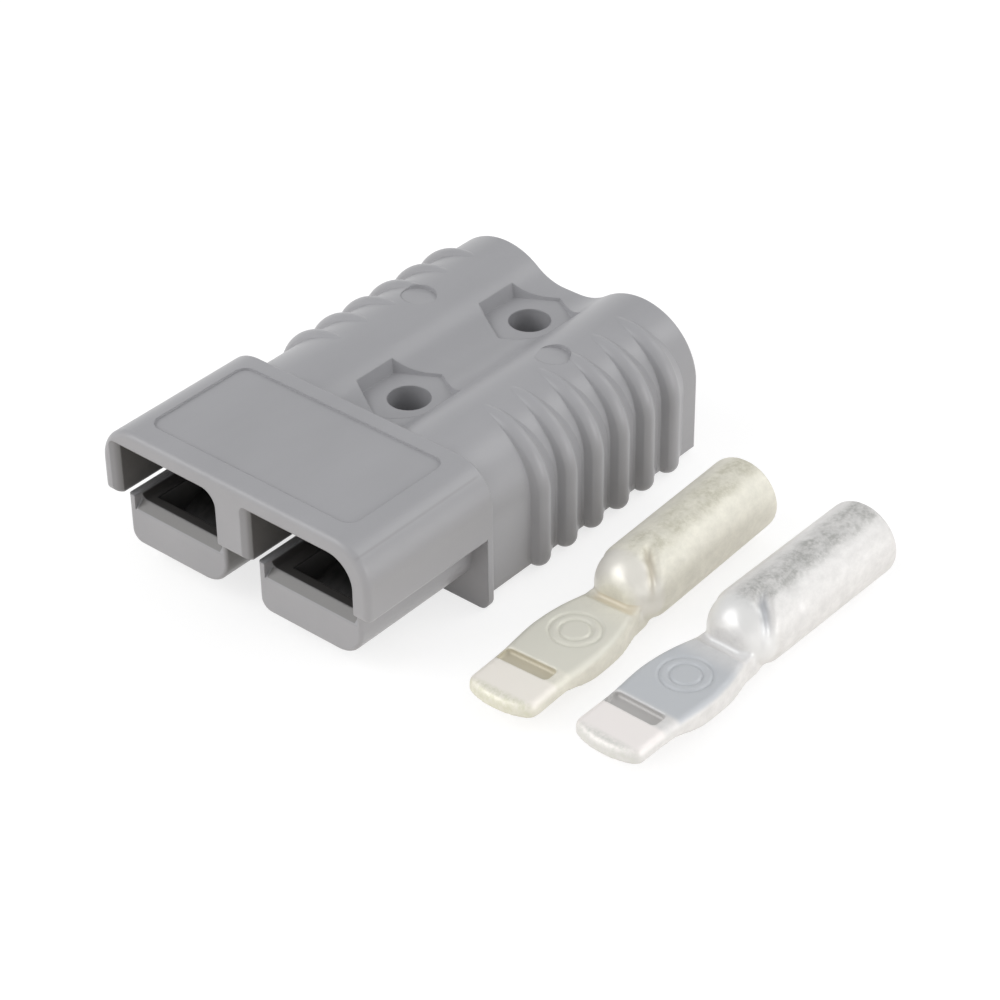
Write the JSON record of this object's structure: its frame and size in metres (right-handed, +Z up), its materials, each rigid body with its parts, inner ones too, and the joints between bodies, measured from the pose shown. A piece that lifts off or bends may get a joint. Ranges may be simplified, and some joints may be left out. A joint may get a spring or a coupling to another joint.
{
  "type": "genderless power connector",
  "caption": "Flat two-pole genderless power connector housing in grey plastic with loose silver-plated crimp contacts lying beside it.",
  "frame": {"origin": "midway between the two mounting holes, on the flat base of the housing", "axes": "-Y out of the mating face and +Y out of the cable entries, +Z up from the base to the hood, +X towards the loose contacts"},
  "size_m": [0.0824, 0.0668, 0.0213],
  "materials": {
    "housing_plastic": "fine moulded grain",
    "spring_steel": "bright rolled strip",
    "contact_silver": "satin silver plating with light tarnish"
  },
  "bodies": {
    "root": {"housing": "housing_plastic", "left_leaf_spring": "spring_steel", "right_leaf_spring": "spring_steel", "middle_contact": "contact_silver", "outer_contact": "contact_silver"}
  },
  "joints": []
}
